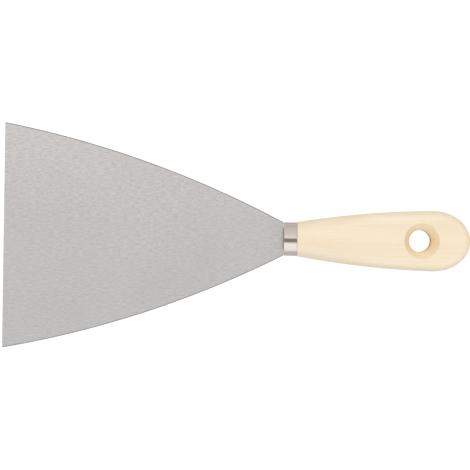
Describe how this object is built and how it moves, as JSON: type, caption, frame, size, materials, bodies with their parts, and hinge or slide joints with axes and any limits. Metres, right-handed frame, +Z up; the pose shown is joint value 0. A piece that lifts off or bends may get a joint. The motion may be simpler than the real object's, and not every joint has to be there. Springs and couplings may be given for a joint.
{
  "type": "flexible putty knife",
  "caption": "Hand tool with a wide, thin flexible steel blade that narrows to a ferrule on a flat wooden handle with a hang hole.",
  "frame": {"origin": "on the bench that the knife lies on, under the middle of its bounding box", "axes": "+X along the knife from the cutting edge towards the butt of the handle, +Y across the blade, +Z up off the bench"},
  "size_m": [0.2448, 0.12, 0.0185],
  "materials": {
    "blade_steel": "lengthwise ground spring steel, satin",
    "ferrule_plating": "nickel plated, bright",
    "handle_wood": "pale hardwood, clear satin lacquer",
    "adhesive": "cured epoxy, amber"
  },
  "bodies": {
    "handle": {"handle": "handle_wood", "ferrule": "ferrule_plating", "tang_adhesive": "adhesive", "blade_tang": "blade_steel"},
    "blade": {"blade": "blade_steel"}
  },
  "joints": [
    {"name": "blade_flex", "type": "hinge", "parent": "handle", "child": "blade", "pos_m": [0.02613, 0, 0.00673], "axis": [0, 1, 0], "range_deg": [-25, 25], "stiffness_Nm_per_rad": 5.2, "deforming": ["blade"]}
  ]
}
